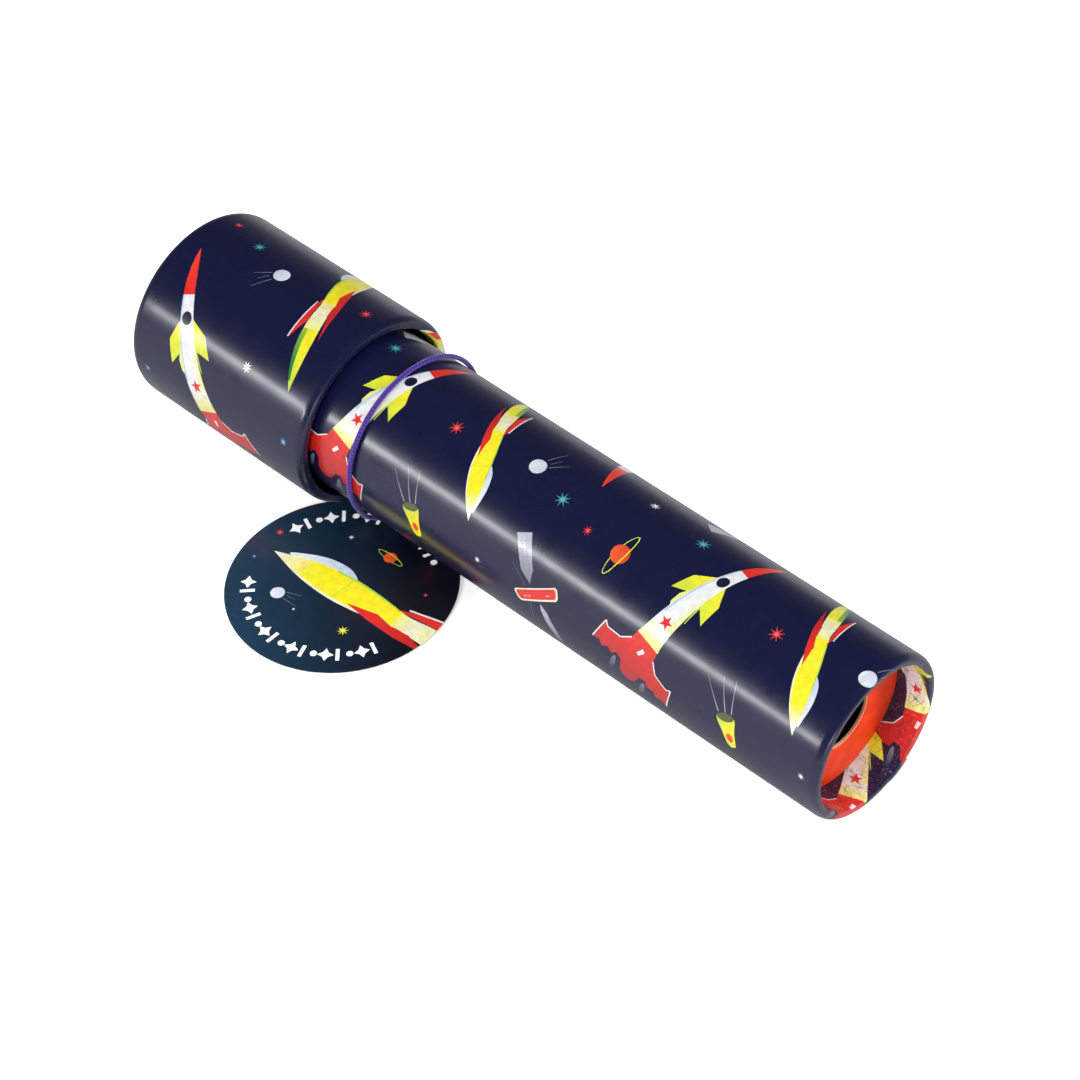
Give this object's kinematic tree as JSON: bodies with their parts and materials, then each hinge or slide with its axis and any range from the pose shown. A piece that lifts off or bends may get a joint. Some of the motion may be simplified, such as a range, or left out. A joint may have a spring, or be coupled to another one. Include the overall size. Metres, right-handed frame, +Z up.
{
  "type": "toy kaleidoscope",
  "caption": "Card tube kaleidoscope with a larger head that turns on its front end, a recessed peephole eyepiece, and a round swing tag on an elastic cord.",
  "frame": {"origin": "on the table, under the middle of the bounding box, with the tube lying on the rims of its head and eyepiece", "axes": "+X along the table from the head to the eyepiece, +Z up, and the swing tag lies on the -Y side"},
  "size_m": [0.191, 0.0744, 0.0458],
  "materials": {
    "printed_paper": "satin laminated print on deep navy paper",
    "board": "matt spiral-wound grey-brown board",
    "orange_card": "matt orange-red card",
    "black_card": "matt black card",
    "clear_plastic": "clear polished sheet",
    "frosted_plastic": "frosted translucent sheet",
    "mirror": "polished mirror strip",
    "tape": "matt paper tape",
    "elastic_cord": "braided purple elastic",
    "tag_card": "satin printed card, navy",
    "loose_star": "glossy coloured plastic",
    "loose_round_bead": "glossy coloured plastic",
    "loose_hexagon": "glossy coloured plastic",
    "loose_ring_bead": "glossy coloured plastic",
    "loose_gem": "glossy coloured plastic",
    "loose_triangle": "glossy coloured plastic",
    "loose_cube": "glossy coloured plastic",
    "loose_crescent": "glossy coloured plastic",
    "loose_tube_bead": "glossy coloured plastic"
  },
  "bodies": {
    "body": {"body_tube": "board", "body_wrap": "printed_paper", "eyepiece_disc": "orange_card", "eyepiece_window": "clear_plastic", "eyepiece_ring": "black_card", "mirror_bottom": "mirror", "mirror_left": "mirror", "mirror_right": "mirror", "front_cradle": "board", "rear_cradle": "black_card", "front_mirror_band": "tape", "rear_mirror_band": "tape", "front_mask": "black_card", "retaining_collar": "board"},
    "head": {"head_tube": "board", "head_wrap": "printed_paper", "end_retainer": "black_card", "end_window": "frosted_plastic", "chamber_ring": "frosted_plastic", "inner_window": "clear_plastic", "head_liner": "board", "head_bearing": "black_card"},
    "cord": {"cord_loop": "elastic_cord"},
    "tag": {"swing_tag": "tag_card"},
    "star": {"loose_star": "loose_star"},
    "round_bead": {"loose_round_bead": "loose_round_bead"},
    "hexagon": {"loose_hexagon": "loose_hexagon"},
    "ring_bead": {"loose_ring_bead": "loose_ring_bead"},
    "gem": {"loose_gem": "loose_gem"},
    "triangle": {"loose_triangle": "loose_triangle"},
    "cube": {"loose_cube": "loose_cube"},
    "crescent": {"loose_crescent": "loose_crescent"},
    "tube_bead": {"loose_tube_bead": "loose_tube_bead"}
  },
  "joints": [
    {"name": "head_turn", "type": "hinge", "parent": "body", "child": "head", "pos_m": [-0.05493, 0.01497, 0.02254], "axis": [0.9996, 0, -0.0274], "continuous": true},
    {"name": "loose_star_orbit", "type": "hinge", "parent": "head", "child": "star", "pos_m": [-0.08642, 0.01497, 0.02341], "axis": [0.9996, 0, -0.0274], "continuous": true},
    {"name": "loose_round_bead_orbit", "type": "hinge", "parent": "head", "child": "round_bead", "pos_m": [-0.08642, 0.01497, 0.02341], "axis": [0.9996, 0, -0.0274], "continuous": true},
    {"name": "loose_hexagon_orbit", "type": "hinge", "parent": "head", "child": "hexagon", "pos_m": [-0.08642, 0.01497, 0.02341], "axis": [0.9996, 0, -0.0274], "continuous": true},
    {"name": "loose_ring_bead_orbit", "type": "hinge", "parent": "head", "child": "ring_bead", "pos_m": [-0.08642, 0.01497, 0.02341], "axis": [0.9996, 0, -0.0274], "continuous": true},
    {"name": "loose_gem_orbit", "type": "hinge", "parent": "head", "child": "gem", "pos_m": [-0.08642, 0.01497, 0.02341], "axis": [0.9996, 0, -0.0274], "continuous": true},
    {"name": "loose_triangle_orbit", "type": "hinge", "parent": "head", "child": "triangle", "pos_m": [-0.08642, 0.01497, 0.02341], "axis": [0.9996, 0, -0.0274], "continuous": true},
    {"name": "loose_cube_orbit", "type": "hinge", "parent": "head", "child": "cube", "pos_m": [-0.08642, 0.01497, 0.02341], "axis": [0.9996, 0, -0.0274], "continuous": true},
    {"name": "loose_crescent_orbit", "type": "hinge", "parent": "head", "child": "crescent", "pos_m": [-0.08642, 0.01497, 0.02341], "axis": [0.9996, 0, -0.0274], "continuous": true},
    {"name": "loose_tube_bead_orbit", "type": "hinge", "parent": "head", "child": "tube_bead", "pos_m": [-0.08642, 0.01497, 0.02341], "axis": [0.9996, 0, -0.0274], "continuous": true},
    {"name": "cord_turn", "type": "hinge", "parent": "body", "child": "cord", "pos_m": [-0.03044, 0.01497, 0.02187], "axis": [0.9996, 0, -0.0274], "continuous": true},
    {"name": "tag_swing", "type": "hinge", "parent": "cord", "child": "tag", "pos_m": [-0.03044, 0.00983, 0.0015], "axis": [0.9996, 0, -0.0274], "range_deg": [0, 40]}
  ],
  "couplings": [
    {"joint": "loose_round_bead_orbit", "follows": "loose_star_orbit", "ratio": 1},
    {"joint": "loose_hexagon_orbit", "follows": "loose_star_orbit", "ratio": 1},
    {"joint": "loose_gem_orbit", "follows": "loose_ring_bead_orbit", "ratio": 1},
    {"joint": "loose_triangle_orbit", "follows": "loose_ring_bead_orbit", "ratio": 1},
    {"joint": "loose_crescent_orbit", "follows": "loose_cube_orbit", "ratio": 1},
    {"joint": "loose_tube_bead_orbit", "follows": "loose_cube_orbit", "ratio": 1}
  ]
}
